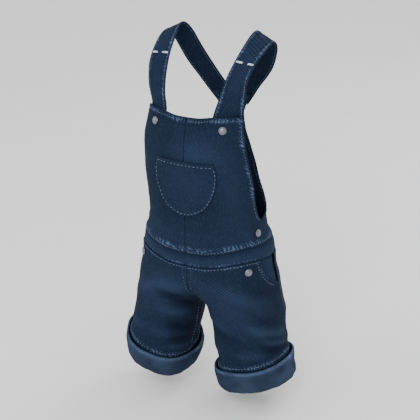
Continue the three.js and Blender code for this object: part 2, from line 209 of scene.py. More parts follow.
class Cloth:
    """One cut piece as a closed thin wall: its object, and its outer face for what is sewn on it."""

    def __init__(self, name, at, columns, rows, out, thick, relief, material, mirror=False, keep=None):
        u, v = np.meshgrid(spread(columns), spread(rows))
        base, normal = at(u, v)
        left, right, top, bottom = grid_lengths(base)
        lift, marks = relief(base, left, right, top, bottom, u, v)
        nearest = np.minimum(np.minimum(left, right), np.minimum(top, bottom))
        turn = np.clip(1 - nearest / EDGE_ROUND, 0, 1)
        drop = 0.5 * thick * (1 - np.sqrt(1 - turn**2))
        folded = marks.pop("folded", 0 * u)
        outer = base + normal * (out + lift - drop)[..., None]
        inner = base + normal * (out - thick + lift * 0.85 + drop * 0.4 - 1.1 * folded)[..., None]
        if keep:
            outer, inner = keep(outer), keep(inner)
        if mirror:
            outer, inner = outer * [-1, 1, 1], inner * [-1, 1, 1]
        n, m = u.shape
        index = np.arange(n * m).reshape(n, m)
        a, b, c, d = index[:-1, :-1], index[1:, :-1], index[1:, 1:], index[:-1, 1:]
        front = np.stack([a, b, c, d], -1).reshape(-1, 4)
        back = front[:, ::-1] + n * m
        ring = np.concatenate([index[0], index[1:, -1], index[-1, -2::-1], index[-2:0:-1, 0]])
        after = np.roll(ring, -1)
        rim = np.stack([ring, after, after + n * m, ring + n * m], -1)
        faces = np.concatenate([front, back, rim])
        if mirror:
            faces = faces[:, ::-1]
        middle = left - left[:, left.shape[1] // 2][:, None]
        uv = np.stack([middle, base[..., 2]], -1).reshape(-1, 2)
        every = {key: np.concatenate([value.ravel(), (value * (0.15 + 0.6 * folded)).ravel()])
                 for key, value in marks.items()}
        every["inside"] = np.concatenate([np.zeros(n * m), 1 - 0.75 * folded.ravel()])
        points = np.concatenate([outer.reshape(-1, 3), inner.reshape(-1, 3)])
        self.piece = mesh_piece(name, points, faces, np.concatenate([uv, uv]), every, material)
        self.faces, self.turned = {}, {}
        for face, sheet, way in (("outer", outer, 1), ("inner", inner, -1)):
            corners = [Vector(p) for p in sheet.reshape(-1, 3)]
            self.faces[face] = BVHTree.FromPolygons(corners, front.tolist())
            self.turned[face] = -way if mirror else way

    def snap(self, points, face="outer"):
        """The nearest places on one face of this piece, with the normals that point away from the cloth."""
        places, normals = [], []
        for p in points:
            place, normal, _, _ = self.faces[face].find_nearest(Vector(p))
            places.append(place)
            normals.append(normal * self.turned[face])
        return np.array(places), np.array(normals)


def add(tree, kind, inputs=None, **settings):
    """One shader node: its settings, then its sockets, each a value or another node's output."""
    made = tree.nodes.new(kind)
    for key, value in settings.items():
        setattr(made, key, value)
    for key, value in (inputs or {}).items():
        if isinstance(value, bpy.types.NodeSocket):
            tree.links.new(value, made.inputs[key])
        else:
            made.inputs[key].default_value = value
    return made


def noise(tree, place, scale, detail, roughness=0.5):
    return add(tree, "ShaderNodeTexNoise", {"Vector": place, "Scale": scale, "Detail": detail,
                                            "Roughness": roughness}).outputs["Fac"]


def maths(tree, operation, *values, **settings):
    return add(tree, "ShaderNodeMath", dict(enumerate(values)), operation=operation, **settings).outputs[0]


def ranged(tree, value, first, last, low, high, **settings):
    """A value moved from the range first to last into the range low to high."""
    ends = {"Value": value, "From Min": first, "From Max": last, "To Min": low, "To Max": high}
    return add(tree, "ShaderNodeMapRange", ends, **settings).outputs[0]


def node_group(name, inputs, outputs):
    """An empty shader group with named sockets, and its two end nodes."""
    tree = bpy.data.node_groups.new(name, "ShaderNodeTree")
    for label, kind, value in inputs:
        socket = tree.interface.new_socket(label, in_out="INPUT", socket_type=kind)
        if value is not None:
            socket.default_value = value
    for label, kind in outputs:
        tree.interface.new_socket(label, in_out="OUTPUT", socket_type=kind)
    return tree, tree.nodes.new("NodeGroupInput").outputs, tree.nodes.new("NodeGroupOutput")


def build_twill():
    """Twill weave: slanting ribs broken by the cross threads, and the slubs of uneven yarn."""
    tree, given, result = node_group(
        "twill_weave",
        [("Cloth UV", "NodeSocketVector", None), ("Ribs per metre", "NodeSocketFloat", 240.0)],
        [("Rib", "NodeSocketFloat"), ("Slub", "NodeSocketFloat"), ("Height", "NodeSocketFloat")])
    turned = add(tree, "ShaderNodeVectorRotate", {"Vector": given["Cloth UV"], "Angle": TWILL_ANGLE},
                 rotation_type="Z_AXIS").outputs[0]
    scale = maths(tree, "MULTIPLY", given["Ribs per metre"], WAVE_PERIOD)
    rib = add(tree, "ShaderNodeTexWave",
              {"Vector": turned, "Scale": scale, "Distortion": 1.6, "Detail": 2.0, "Detail Scale": 1.4},
              wave_type="BANDS", bands_direction="X").outputs["Fac"]
    long = add(tree, "ShaderNodeMapping", {"Vector": given["Cloth UV"], "Scale": (900, 70, 1)}).outputs[0]
    fuzz = maths(tree, "MULTIPLY", noise(tree, given["Cloth UV"], 900.0, 2.0), 0.6)
    tree.links.new(rib, result.inputs["Rib"])
    tree.links.new(noise(tree, long, 1.0, 3.0), result.inputs["Slub"])
    tree.links.new(maths(tree, "MULTIPLY_ADD", rib, 0.7, fuzz), result.inputs["Height"])
    return tree


def build_abrasion():
    """Abrasion: pale flecks where a raised fold has rubbed, thicker where the cloth's wear mark is high."""
    tree, given, result = node_group(
        "abrasion", [("Place", "NodeSocketVector", None), ("Wear", "NodeSocketFloat", 0.0)],
        [("Mask", "NodeSocketFloat")])
    fleck = noise(tree, given["Place"], 620.0, 3.0, 0.75)
    blend = maths(tree, "MULTIPLY_ADD", noise(tree, given["Place"], 60.0, 2.0), 0.18, fleck)
    reach = maths(tree, "MULTIPLY_ADD", given["Wear"], 0.45, blend)
    mask = ranged(tree, reach, 0.83, 1.09, 0, 1, interpolation_type="SMOOTHSTEP")
    edge = maths(tree, "MULTIPLY", given["Wear"], 1.5, use_clamp=True)
    tree.links.new(maths(tree, "MULTIPLY", mask, edge), result.inputs["Mask"])
    return tree


TWILL = build_twill()
ABRASION = build_abrasion()


def blend_colour(tree, factor, first, second):
    mixed = add(tree, "ShaderNodeMix", {0: factor, 6: first, 7: second}, data_type="RGBA")
    return mixed.outputs[2]


def new_material(name):
    """A material, its node tree and its main shader."""
    material = bpy.data.materials.new(name)
    material.use_nodes = True
    return material, material.node_tree, material.node_tree.nodes["Principled BSDF"]


def set_relief(tree, shader, strength, distance, height):
    """Gives a shader the fine relief of a height; the distance is in metres."""
    relief = add(tree, "ShaderNodeBump", {"Strength": strength, "Distance": distance, "Height": height})
    tree.links.new(relief.outputs[0], shader.inputs["Normal"])


def cloth_material(name, deep, faded, worn, inside, ribs=255.0, rib_depth=0.5, bump=0.5):
    """Denim: indigo that fades, painted highlights on raised folds and rolls, painted shade in seams and
    hollows, slanting ribs, pale flecks on worn folds, and a plainer inner side.
    """
    material, tree, shader = new_material(name)
    uv = add(tree, "ShaderNodeUVMap", uv_map="cloth_uv").outputs[0]
    place = add(tree, "ShaderNodeTexCoord").outputs["Object"]
    mark = {key: add(tree, "ShaderNodeAttribute", attribute_name=key).outputs["Fac"]
            for key in ("wear", "fade", "inside", "shade")}
    twill = add(tree, "ShaderNodeGroup", {"Cloth UV": uv, "Ribs per metre": ribs}, node_tree=TWILL).outputs
    rub = add(tree, "ShaderNodeGroup", {"Place": place, "Wear": mark["wear"]}, node_tree=ABRASION).outputs[0]
    mottle = ranged(tree, noise(tree, place, 16.0, 4.0, 0.6), 0.35, 0.7, 0, 0.22)
    # the fade mark pales the cloth toward the faded colour: real fading, and painted highlight on raised
    # folds and rolls
    faint = maths(tree, "ADD", mark["fade"], mottle, use_clamp=True)
    dark_rib = ranged(tree, twill["Rib"], 0.15, 0.8, rib_depth, 0)
    thin = ranged(tree, twill["Slub"], 0.5, 0.72, 0, 0.6)
    stray = ranged(tree, noise(tree, uv, 430.0, 1.0), 0.66, 0.78, 0, 0.4)
    # the shade mark is painted shade: seams, hem edges, hollows and tucked edges darken toward the painted
    # shade colour
    shaded = maths(tree, "MULTIPLY", mark["shade"], 0.75, use_clamp=True)
    colour = deep
    for factor, over in ((faint, faded), (mark["inside"], inside), (dark_rib, RIB_GROOVE), (thin, faded),
                         (stray, worn), (rub, worn), (shaded, PAINTED_SHADE)):
        colour = blend_colour(tree, factor, colour, over)
    tree.links.new(colour, shader.inputs["Base Color"])
    dull = ranged(tree, rub, 0, 1, CLOTH_ROUGHNESS, CLOTH_ROUGHNESS + 0.1)
    tree.links.new(dull, shader.inputs["Roughness"])
    set_relief(tree, shader, bump, 0.0009, twill["Height"])
    shader.inputs["Specular IOR Level"].default_value = 0.06
    return material


denim = cloth_material("denim", DENIM, DENIM_FADED, DENIM_WORN, DENIM_INSIDE)


def on_trunk(place):
    """Turns a piece's own grid shares into points and normals on the trunk."""
    return lambda u, v: on_surface(trunk_point, *place(u, v))


def bib_place(u, v):
    angle = u * 57
    for _ in range(FIT_ROUNDS):
        top = read(NECKLINE, np.minimum(angle, 60))
        z = top + (read(HEM_TOP, angle) + SEAM_GAP - top) * v
        angle = u * read(BIB_EDGE, z)
    return angle, z


def left_of_middle(points):
    points[..., 0] = np.maximum(points[..., 0], SEAM_GAP)
    return points


def bib_relief(side):
    def relief(base, left, right, top, bottom, u, v):
        neck, neck_wear = hem(top, left, seed=1 + side)
        edge, edge_wear = hem(right, top, seed=3 + side)
        open_edge = smooth(base[..., 2], ARMHOLE_Z - 6, ARMHOLE_Z + 4)
        edge, edge_wear = edge * open_edge, edge_wear * open_edge
        # both sides of a seam keep the same height, so that the seam doesn't open
        calm = smooth(right, 0, 16)
        roll, roll_wear = hem(bottom, left, width=18, height=1.1, rope=0.9 * calm, seed=5 + side)
        seam = spot(left, 3, 2.2)
        flecks = spot(left, 4, 4) * (0.5 + 0.5 * np.sin(top / 2.1 + 2 * np.sin(top / 11)))
        own = base * [side, 1, 1]
        x, z = own[..., 0], own[..., 2]
        lift = np.maximum(neck, edge) + roll + 0.35 * seam
        calm = calm * smooth(bottom, 0, 26) * smooth(top, 0, 60)
        lift = lift + calm * (1.1 * crumple(own, 120, 11) + 0.35 * crumple(own, 34, 12))
        fade = 0.75 * oval(x, 38, 48, z, -232, 36)
        fade += 0.35 * oval(x, 100, 26, z, -310, 60)
        fade += 0.24 * smooth(-z, 380, 440)
        fade += 0.2 * oval(x, 110, 30, z, -400, 40)
        wear = np.maximum(np.maximum(neck_wear, edge_wear), roll_wear)
        wear = np.maximum(wear, 0.5 * flecks)
        # painted shade: a dark line along the middle seam, a painted shadow just under the neck hem's edge,
        # and a painted shade patch below the pocket's right
        shade = 0.3 * (1 - smooth(left, 0, SEAM_LINE)) + 0.3 * spot(top, HEM_WIDTH + 1.5, 1.6)
        shade += 0.28 * oval(x, 78, 26, z, -350, 34)
        folded = np.maximum(1 - smooth(top, 9, 11), open_edge * (1 - smooth(right, 9, 11)))
        return lift, {"wear": wear, "fade": fade, "shade": shade, "folded": folded}
    return relief


bib = {}
for word, side in SIDES:
    bib[word] = Cloth(f"denim_bib_{word}", on_trunk(bib_place), 56, 104, CLOTH / 2, CLOTH, bib_relief(side),
                      denim, mirror=side < 0, keep=left_of_middle)
    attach(bib[word].piece, "root")
    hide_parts(f"bib_front_{word}")

# Back panel. One piece of the same twill, narrow between the shoulder blades where the straps are sewn on,
# flaring to the side seams under the armholes and down to the waist seam. Its armhole edges are hemmed.
BACK_TOP_Z = -156
BACK_EDGE = np.array([
    [BACK_TOP_Z, 157], [-186, 165.5], [-205, 168], [-235, 166.3], [-270, 160], [-310, 151], [-346, 141],
    [-374, 126], [-392, 109], [ARMHOLE_Z, 90.15], [-425, 99.1], [-455, 108.1],
])


def back_place(u, v):
    angle = 180 + 0 * u
    for _ in range(FIT_ROUNDS):
        low = read(HEM_TOP, np.minimum(angle, 360 - angle)) + SEAM_GAP
        z = BACK_TOP_Z + (low - BACK_TOP_Z) * v
        side = read(BACK_EDGE, z)
        angle = side + (360 - 2 * side) * u
    return angle, z


def back_relief(base, left, right, top, bottom, u, v):
    near = np.minimum(left, right)
    edge, edge_wear = hem(near, top, seed=8)
    open_edge = smooth(base[..., 2], ARMHOLE_Z - 6, ARMHOLE_Z + 4)
    edge, edge_wear = edge * open_edge, edge_wear * open_edge
    head, head_wear = hem(top, left, rope=0.3, seed=9)
    calm = smooth(near, 0, 16)
    waist, waist_wear = hem(bottom, left, width=18, height=1.1, rope=0.75 * calm, seed=10)
    side_seam = (1 - open_edge) * spot(near, 3, 2.2)
    lift = np.maximum(edge, head) + waist + 0.5 * side_seam
    calm = calm * smooth(bottom, 0, 26) * smooth(top, 0, 60)
    lift = lift + calm * (1.3 * crumple(base, 110, 21) + 0.35 * crumple(base, 34, 22))
    fade = 0.25 * smooth(-base[..., 2], 360, 440) + 0.2 * spot(base[..., 2], -260, 50)
    wear = np.maximum(np.maximum(edge_wear, head_wear), np.maximum(waist_wear, 0.5 * side_seam))
    # painted shade along the side seams below the armholes
    shade = 0.3 * (1 - open_edge) * (1 - smooth(near, 0, SEAM_LINE))
    folded = np.maximum(1 - smooth(top, 9, 11), open_edge * (1 - smooth(near, 9, 11)))
    return lift, {"wear": wear, "fade": fade, "shade": shade, "folded": folded}


back = Cloth("denim_back", on_trunk(back_place), 110, 104, CLOTH / 2, CLOTH, back_relief, denim)
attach(back.piece, "root")
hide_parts("back_panel")

# Chest pocket. A single U-shaped patch laid over both bib halves, its mouth turned down, the rest of its
# edge turned under and topstitched.
POCKET = np.array([
    [-251, 24.4], [-262, 26.6], [-280, 28], [-300, 27.7], [-320, 25.6], [-340, 22.2], [-354, 18.4],
    [-365, 13], [-372, 8], [-376.5, 3],
])


def pocket_place(u, v):
    z = POCKET[0, 0] + (POCKET[-1, 0] - POCKET[0, 0]) * (1 - (1 - v) ** 1.35)
    side = read(POCKET, z)
    return side * (2 * u - 1), z


def pocket_relief(base, left, right, top, bottom, u, v):
    near = np.minimum(np.minimum(left, right), bottom)
    edge, edge_wear = hem(near, left + top, width=7, height=0.5, rope=0.3, seed=13)
    mouth, mouth_wear = hem(top, left, width=10, height=0.9, rope=0.35, seed=14)
    slack = 1.4 * smooth(near, 5, 30) * (1 - smooth(top, 20, 90))
    lift = np.maximum(edge, mouth) + slack + 0.1
    # the patch follows the bib's own unevenness
    lift = lift + 1.1 * crumple(base, 120, 11) + 0.35 * crumple(base, 34, 12)
    fade = 0.16 + 0.2 * oval(base[..., 0], 15, 40, base[..., 2], -300, 36)
    wear = 0.55 * np.maximum(edge_wear, mouth_wear)
    # painted shadow along the patch's sewn edge
    return lift, {"wear": wear, "fade": fade, "shade": 0.35 * (1 - smooth(near, 0, SEAM_LINE))}


pocket = Cloth("denim_chest_pocket", on_trunk(pocket_place), 56, 44, CLOTH / 2 + 0.6 + CLOTH, CLOTH,
               pocket_relief, denim)
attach(pocket.piece, "root")
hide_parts("chest_pocket")

# Waistband. A doubled strip sewn all round between the bib and the shorts and closed at the middle of the
# back. It bellies out like a soft tube, and its two long edges are tucked in behind the bib's hem and
# the shorts.
DOUBLE = 3.2
TUCK = 3.2
# how far in from the trunk's surface the tucked edges lie
TUCK_DEPTH = 2.7


def band_place(u, v):
    angle = 179.9 * (2 * u - 1)
    high = read(HEM_TOP, np.abs(angle)) + TUCK
    low = read(HEM_LOW, np.abs(angle)) - TUCK
    return angle, high + (low - high) * v


def band_relief(base, left, right, top, bottom, u, v):
    belly = 2.6 * np.sin(np.pi * v) ** 0.8 * (0.5 + 0.5 * smooth(np.abs(2 * u - 1), 0.1, 0.5))
    line, line_wear = hem(bottom - TUCK, left, width=7, height=0.2, rope=0.45, seed=16)
    lift = belly - 1.2 + line + 0.5 * crumple(base, 60, 17)
    tucked = 1 - smooth(np.minimum(top, bottom), TUCK - 0.4, TUCK + 0.7)
    lift = lift + (-TUCK_DEPTH - lift) * tucked
    wear = 0.75 * line_wear + 0.12
    # painted highlight along the lower belly of the roll, and painted shadow along its top where it tucks
    # under the bib's hem
    fade = 0.6 * spot(v, 0.6, 0.3)
    return lift, {"wear": wear, "fade": fade, "shade": 0.7 * (1 - smooth(top, TUCK + 0.5, TUCK + 5))}


band = Cloth("denim_waistband", on_trunk(band_place), 260, 26, CLOTH / 2, DOUBLE, band_relief, denim)
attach(band.piece, "root")
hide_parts("waistband")

# Shorts. A front and a back piece for each leg, meeting at the side seams, the inseams and the middle.
# The legs keep the soft creases of wear: hollows that run out from the fork and puckers above the cuffs.
# height, centre x, half width, centre y, front depth, back depth, squareness of the front
LEG = np.array([
    [-455, 0, 147, -37.5, 115.5, 115.5, 2.3], [-470, 0, 150, -35, 115, 115, 2.3],
    [-500, 0, 157, -35, 114, 114, 2.3], [-540, 19, 146, -33, 112, 109, 2.3],
    [-562, 47, 121, -31, 110, 107, 2.3], [-586, 72, 98, -29, 107, 101, 2.3],
    [-604, 88, 84, -28, 105, 96, 2.35], [-640, 100, 78, -27, 101, 90, 2.4],
    [-670, 104.5, 77.5, -29, 98, 87, 2.4], [-705, 110, 77.5, -31, 95, 84, 2.4],
    [-760, 119.5, 74, -35, 92, 80, 2.35], [-840, 125.5, 72, -37, 91, 80, 2.3],
])
# the scooped pocket mouth and, below it, the side seam: height, angle
SCOOP = np.array([[-478, 70.5], [-500, 72], [-520, 76], [-536, 82], [-546, 88], [-552, 93], [-556, 96.8]])
LEG_SIDE = np.array([[-480, 96], [-556, 96.9], [-620, 104], [-700, 110], [-790, 112]])
SIDE_AT_HEM = 112
# mean height of the cuff's top, how far the outer side rises, how far the front drops, then how much longer
# and how much fuller the outer side is at the fold
CUFFS = {"left": (-748, 18, 0, 1, 18), "right": (-738, 27, 11, 3, 0)}
LEG_IN_CUFF = 20
FORK_Z = -611
# each crease: angle and height of its two ends, width and height in millimetres; below zero is a hollow
LEG_CREASES = {
    "left": [
        (26, -638, 94, -680, 12, 5.5), (44, -620, 80, -640, 10, -3.4), (52, -661, 98, -693, 7, -3.4),
        (52, -676, 104, -704, 7, 3.4), (44, -692, 92, -716, 10, -5.5), (4, -708, 54, -704, 11, 3.4),
        (16, -552, 62, -590, 19, 3.1), (42, -538, 86, -570, 16, -2.6), (-52, -626, -6, -650, 12, 2.9),
        (-40, -656, 16, -684, 13, -3.6), (-70, -690, -24, -716, 11, 2.9), (100, -560, 112, -640, 14, -2.1),
        (120, -640, 175, -622, 14, 3.6), (126, -662, 196, -640, 13, -3.6), (110, -700, 170, -712, 12, 3.1),
        (200, -690, 250, -716, 11, -3.1),
    ],
    "right": [
        (10, -576, -42, -612, 10, -5.5), (-42, -612, -74, -630, 9, -4.7), (16, -556, -18, -580, 17, 3.1),
        (-10, -630, -64, -648, 12, 4.4), (-28, -670, -76, -696, 12, -5.5), (4, -690, -34, -702, 12, 3.1),
        (-34, -717, -82, -725, 9, -5.5), (-34, -735, -84, -745, 9, 3.9), (0, -560, 46, -600, 18, 2.9),
        (20, -610, 60, -640, 16, -2.9), (10, -690, 56, -678, 12, 2.9), (120, -640, 175, -622, 14, 3.6),
        (126, -662, 196, -640, 13, -3.6), (110, -694, 170, -706, 12, 3.1), (200, -690, 250, -716, 11, -3.1),
    ],
}
LEG_MM_PER_DEGREE = 1.75
# the share of a piece's rows that lie above the fork
ROWS_ABOVE_FORK = 0.56
# how far the cloth flares over the cuff, and how far it is drawn in along the inseam
FLARE = 4.2
DRAWN_IN = 3.2


def leg_point(angle, z):
    """A point on the wearer's left leg: degrees round the leg from its own front, and height."""
    cx, half, cy, front, rear, square = (read(LEG, z, c) for c in range(1, 7))
    s, c = np.sin(np.radians(angle)), np.cos(np.radians(angle))
    n = np.where(c > 0, square, 2)
    x = cx + half * signed_power(s, 2 / n)
    y = cy - np.where(c > 0, front, rear) * signed_power(c, 2 / n)
    return np.stack([x, y, z + 0 * x], -1)


def middle_angle(z, is_front):
    """Where the leg's surface meets the middle of the garment."""
    cx, half, square = read(LEG, z), read(LEG, z, 2), read(LEG, z, 6)
    share = np.clip(cx / half, 0, 1) ** ((square if is_front else 2 + 0 * square) / 2)
    return np.where(cx >= half, -89.95, -np.degrees(np.arcsin(share)))


def leg_hem(side, angle):
    mean, rise, drop = CUFFS[side][:3]
    turn = np.radians(angle)
    return mean + rise * np.sin(turn) - drop * np.cos(turn) - LEG_IN_CUFF


def shorts_place(side, is_front):
    def place(u, v):
        share = ROWS_ABOVE_FORK
        upper = smooth(np.clip(v / share, 0, 1), -1, 1) * 2 - 1
        lower = np.clip((v - share) / (1 - share), 0, 1)
        first = LEG_SIDE[0, 1]
        waist = read(HEM_LOW, SCOOP[0, 1] * u if is_front else first + (180 - first) * u) - SEAM_GAP
        turn = SIDE_AT_HEM * u - 90 * (1 - u) if is_front else SIDE_AT_HEM + (270 - SIDE_AT_HEM) * u
        hem_z = leg_hem(side, turn)
        z = np.where(v <= share, waist + (FORK_Z - waist) * upper, FORK_Z + (hem_z - FORK_Z) * lower)
        seam = read(LEG_SIDE, z)
        mouth = np.where(z > SCOOP[-1, 0], read(SCOOP, z), seam - 0.1)
        inner = middle_angle(z, is_front)
        if is_front:
            return inner + (mouth - inner) * u, z
        return seam + 0.1 + (180 - inner - seam - 0.1) * u, z
    return place


def creases(side, angle, z):
    total = np.zeros(angle.shape)
    for a0, z0, a1, z1, width, height in LEG_CREASES[side]:
        k = LEG_MM_PER_DEGREE
        run = np.array([(a1 - a0) * k, z1 - z0])
        offset_a, offset_z = (angle - a0) * k, z - z0
        t = np.clip((offset_a * run[0] + offset_z * run[1]) / (run @ run), 0, 1)
        away = np.hypot(offset_a - t * run[0], offset_z - t * run[1])
        total += height * spot(away, 0, width) * (0.35 + 0.65 * np.sin(np.pi * t) ** 0.7)
    return total


def shorts_relief(side, is_front):
    place = shorts_place(side, is_front)

    def relief(base, left, right, top, bottom, u, v):
        angle, z = place(u, v)
        middle, outer = (left, right) if is_front else (right, left)
        waist, waist_wear = hem(top, left, width=8, height=0.4, rope=0.45, seed=31)
        inseam = spot(middle, 4, 2.6)
        roped = 0.5 + 0.5 * np.sin(top / 1.5 + 2 * np.sin(top / 17))
        side_seam = spot(outer, 4, 2.6)
        lift = waist + 0.6 * inseam + 0.4 * side_seam + 0.25 * inseam * roped
        wear = np.maximum(0.85 * waist_wear, 0.55 * inseam * roped)
        if is_front:
            mouth, mouth_wear = hem(outer, top, width=9, height=0.9, rope=0.35, seed=33)
            in_scoop = smooth(z, -560, -550)
            lift = lift + mouth * in_scoop
            wear = np.maximum(wear, mouth_wear * in_scoop)
        wear = np.maximum(wear, 0.35 * side_seam)
        # the cloth flares toward the cuff and gathers into puckers along the cuff's stitching
        above = bottom - LEG_IN_CUFF
        calm = smooth(np.minimum(left, right), 0, 16)
        around = angle * LEG_MM_PER_DEGREE
        gather, gather_wear = hem(above, around, width=14, height=0, rope=0.8 * calm, seed=36)
        lift = lift + FLARE * spot(above, 1, 11) + gather
        wear = np.maximum(wear, gather_wear)
        # below the fork the inner side of each leg is drawn in along its seam
        lift = lift - DRAWN_IN * smooth(-z, 600, 624) * spot(middle, 0, 26)
        own = base * [1 if side == "left" else -1, 1, 1]
        fold = creases(side, angle, z)
        fold = fold * np.maximum(calm, smooth(z, FORK_Z, FORK_Z + 12) * (outer > middle))
        keep = smooth(np.minimum(bottom, top), 0, 12)
        lift = lift + keep * (fold + 1.2 * crumple(own, 90, 41) + 0.4 * crumple(own, 30, 42))
        fade = 0.5 * oval(angle, 8, 34, z, -590, 62) if is_front else 0.3 * oval(angle, 190, 40, z, -570, 60)
        # painted highlight on crease ridges, painted shade in crease hollows, and a painted shade line along
        # the middle seam
        fade = fade + 0.17 * np.clip(fold, 0, 5)
        shade = 0.2 * np.clip(-fold, 0, 5) + 0.3 * (1 - smooth(middle, 0, SEAM_LINE))
        return lift, {"wear": wear, "fade": np.clip(fade, 0, 1), "shade": shade}
    return relief


def on_leg(place):
    return lambda u, v: on_surface(leg_point, *place(u, v))


shorts = {}
for side in ("left", "right"):
    for face in ("front", "back"):
        is_front = face == "front"
        made = Cloth(f"denim_shorts_{face}_{side}", on_leg(shorts_place(side, is_front)), 84, 96,
                     CLOTH / 2, CLOTH, shorts_relief(side, is_front), denim, mirror=side == "right",
                     keep=left_of_middle)
        shorts[face, side] = made
        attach(made.piece, "root")
        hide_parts(f"shorts_{face}_{side}")

# Pocket facings. A plain darker piece of the same twill behind each side pocket's scooped mouth, sewn in
# under the waistband. Only this piece is made; the pocket bags behind it are left out.
FACING = (0.0165, 0.029, 0.064, 1)


def facing_place(u, v):
    first = 64 + 10 * v
    angle = first + (95.6 - first) * u
    top = read(HEM_LOW, angle) - TUCK - 0.4
    return angle, top + (-571 - top) * v


def facing_relief(base, left, right, top, bottom, u, v):
    lift = 0.5 * crumple(base, 40, 51) - 0.3 - 1.8 * smooth(v, 0.72, 0.95)
    # painted shadow near the facing's front edge, under the scoop's turned edge
    return lift, {"wear": 0 * u, "fade": 0.1 + 0 * u, "shade": 0.4 * (1 - smooth(left, 10, 26))}


facing_cloth = cloth_material("denim_facing", FACING, DENIM, DENIM_FADED, FACING, ribs=240.0)
for word, side in SIDES:
    facing = Cloth(f"denim_pocket_facing_{word}", on_leg(facing_place), 24, 28, -CLOTH / 2 - 1.8, CLOTH,
                   facing_relief, facing_cloth, mirror=side < 0)
    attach(facing.piece, "root")
    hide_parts(f"pocket_facing_{word}")

# Cuffs. Each leg's end is turned up once, so the paler reverse of the twill shows; a thick soft rim stands
# away from the leg and the turn-up tucks in toward its lower fold.
# distance out from the leg, height from the cuff's top, half thickness
CUFF_LINE = np.array([
    [-1.5, -21, 1.1], [-6, -38, 1.2], [-11, -48, 1.6], [-7, -53, 2], [2.5, -46, 1.8], [11, -29, 1.6],
    [14.5, -12, 1.7], [12.5, 0, 2.8],
])
REVERSE = (0.0155, 0.0248, 0.0495, 1)
REVERSE_FADED = (0.034, 0.0505, 0.093, 1)
REVERSE_WORN = (0.077, 0.121, 0.225, 1)
CUFF_AROUND = 240
CUFF_ROWS = 40
CUFF_MM_PER_DEGREE = 1.7
# the part of the cuff under its top that keeps its length, and the whole height
CUFF_FIXED = 21
CUFF_HEIGHT = 53


def through(points, count):
    """Evenly spread places on a smooth curve through a few points."""
    t = np.concatenate([[0], np.cumsum(np.linalg.norm(np.diff(points[:, :2], axis=0), axis=1))])
    table = np.column_stack([t, points])
    where = np.linspace(0, t[-1], count)
    return np.stack([read(table, where, c) for c in range(1, points.shape[1] + 1)], -1)


def cuff_section():
    line = through(CUFF_LINE, CUFF_ROWS)
    along = np.gradient(line[:, :2], axis=0)
    along /= np.linalg.norm(along, axis=1, keepdims=True)
    side = np.stack([along[:, 1], -along[:, 0]], -1)
    outer = line[:, :2] + side * line[:, 2:]
    inner = line[:, :2] - side * line[:, 2:]
    turns = np.radians(np.linspace(0, 180, 9)[1:-1])
    end, ahead, wide = line[-1, :2], along[-1], line[-1, 2]
    cap = np.array([end + wide * (side[-1] * math.cos(t) + ahead * math.sin(t)) for t in turns])
    shares = np.concatenate([np.linspace(0, 1, CUFF_ROWS), np.ones(len(cap)), np.linspace(1, 0, CUFF_ROWS)])
    is_outer = np.concatenate([np.ones(CUFF_ROWS), np.full(len(cap), 0.6), np.zeros(CUFF_ROWS)])
    return np.concatenate([outer, cap, inner[::-1]]), shares, is_outer


def make_cuff(side):
    section, share, is_outer = cuff_section()
    angle = np.arange(CUFF_AROUND) * 360 / CUFF_AROUND
    mean, rise, drop, longer, fuller = CUFFS[side]
    top = mean + rise * np.sin(np.radians(angle)) - drop * np.cos(np.radians(angle))
    a, r = np.meshgrid(angle, section[:, 0], indexing="ij")
    low = np.clip((-section[:, 1] - CUFF_FIXED) / (CUFF_HEIGHT - CUFF_FIXED), 0, 1)
    extra = np.maximum(0, np.sin(np.radians(angle)))[:, None] ** 1.2 * low
    z = top[:, None] + section[:, 1] - longer * extra
    base, normal = on_surface(leg_point, a, z)
    flat = normal * [1, 1, 0]
    flat /= np.linalg.norm(flat, axis=-1, keepdims=True)
    points = base + flat * (r + fuller * extra)[..., None]
    s = a * LEG_MM_PER_DEGREE
    seam = sum(spot((a - middle) * CUFF_MM_PER_DEGREE, 0, 5) for middle in (90, 270))
    own = points * [1 if side == "left" else -1, 1, 1]
    swell = 2.2 * crumple(own, 80, 61) + 0.8 * crumple(own, 26, 62) + 0.9 * seam
    swell = swell + 0.5 * np.sin(s / 5.5 + 2 * np.sin(s / 37)) * smooth(np.abs(z - top[:, None]), 34, 50)
    points = points + flat * (swell * np.clip(is_outer, 0, 1))[..., None]
    if side == "right":
        points = points * [-1, 1, 1]
    n, m = a.shape
    index = np.arange(n * m).reshape(n, m)
    ahead, beyond = np.roll(index, -1, 0), np.roll(index, -1, 1)
    corner = np.roll(ahead, -1, 1)
    faces = np.stack([index, beyond, corner, ahead], -1).reshape(-1, 4)
    if side == "right":
        faces = faces[:, ::-1]
    rim = spot(share, 0.985, 0.05) * (is_outer > 0.3)
    bottom = spot(share, 0.42, 0.07) * (is_outer > 0.3)
    marks = {
        # the rim's pale band is partly worn fold and partly painted highlight; the inner layer is darkened
        # with painted shade, and the other blotches are random tone
        "wear": (0.75 * rim + 0.4 * bottom)[None, :] + 0.25 * seam,
        "fade": (0.9 * rim)[None, :] + 0.22 + 0.5 * crumple(own, 60, 63),
        "inside": 0 * a,
        "shade": (0.5 * (1 - np.clip(is_outer, 0, 1)))[None, :] + 0.3 * crumple(own, 38, 64),
    }
    uv = np.stack([s, np.broadcast_to(share * 90, s.shape)], -1).reshape(-1, 2)
    flat_marks = {key: np.clip(value, 0, 1).ravel() for key, value in marks.items()}
    return mesh_piece(f"denim_cuff_{side}", points.reshape(-1, 3), faces, uv, flat_marks, reverse_denim)


reverse_denim = cloth_material("denim_reverse", REVERSE, REVERSE_FADED, REVERSE_WORN, REVERSE, ribs=330.0,
                               rib_depth=0.14, bump=0.25)
for side in ("left", "right"):
    cuff = make_cuff(side)
    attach(cuff, "root")
    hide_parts(f"cuff_{side}")

